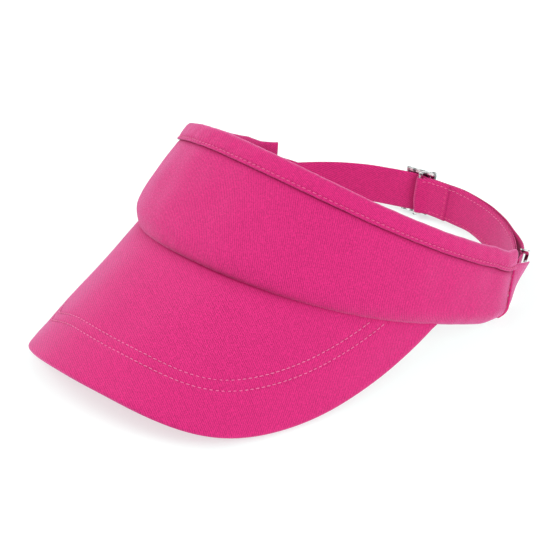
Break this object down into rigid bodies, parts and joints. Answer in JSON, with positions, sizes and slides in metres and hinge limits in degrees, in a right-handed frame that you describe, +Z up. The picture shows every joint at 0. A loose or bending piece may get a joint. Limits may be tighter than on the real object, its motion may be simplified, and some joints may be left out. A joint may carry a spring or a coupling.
{
  "type": "sun visor cap",
  "caption": "Fabric sun visor with a curved stiffened brim, a padded front band and a self-fabric back strap set by a metal clasp.",
  "frame": {"origin": "centre of the bounding box at its base, on the surface the visor stands on", "axes": "-Y towards the brim (the wearer's front), +X towards the wearer's left, +Z up"},
  "size_m": [0.1878, 0.2837, 0.1117],
  "materials": {
    "drill": "matt cotton drill, bright pink",
    "drill_inner": "matt cotton drill seen from inside, deeper pink",
    "thread_light": "polyester thread, pale pink",
    "thread_dark": "polyester thread, deep pink",
    "board": "moulded brim insert, white",
    "nickel": "polished nickel plate"
  },
  "bodies": {
    "band": {"front_panel": "drill", "panel_lining": "drill_inner", "top_binding": "drill", "binding_stitches": "thread_light", "sweatband": "drill_inner", "sweatband_stitches": "thread_dark", "brim_board": "board", "brim_top_cover": "drill", "brim_under_cover": "drill_inner", "brim_stitches_outer": "thread_light", "brim_stitches_inner": "thread_light", "brim_seam_stitches": "thread_dark", "left_end_piece": "drill", "right_end_piece": "drill", "left_end_stitches": "thread_light", "right_end_stitches": "thread_light", "strap_tab": "drill_inner", "tab_stitches": "thread_light", "clasp_frame": "nickel", "clasp_pin": "nickel", "keeper_clip": "nickel"},
    "strap": {"strap": "drill_inner", "strap_end_stitches": "thread_light"},
    "lever": {"clasp_lever": "nickel"}
  },
  "joints": [
    {"name": "size_adjustment", "type": "hinge", "parent": "band", "child": "strap", "pos_m": [0, 0.04466, 0.01827], "axis": [0, -0.0597, -0.9982], "range_deg": [-2, 10]},
    {"name": "clasp_lever_opening", "type": "hinge", "parent": "band", "child": "lever", "pos_m": [-0.01914, 0.13704, 0.01204], "axis": [0.0473, -0.2291, -0.9722], "range_deg": [0, 100]}
  ]
}
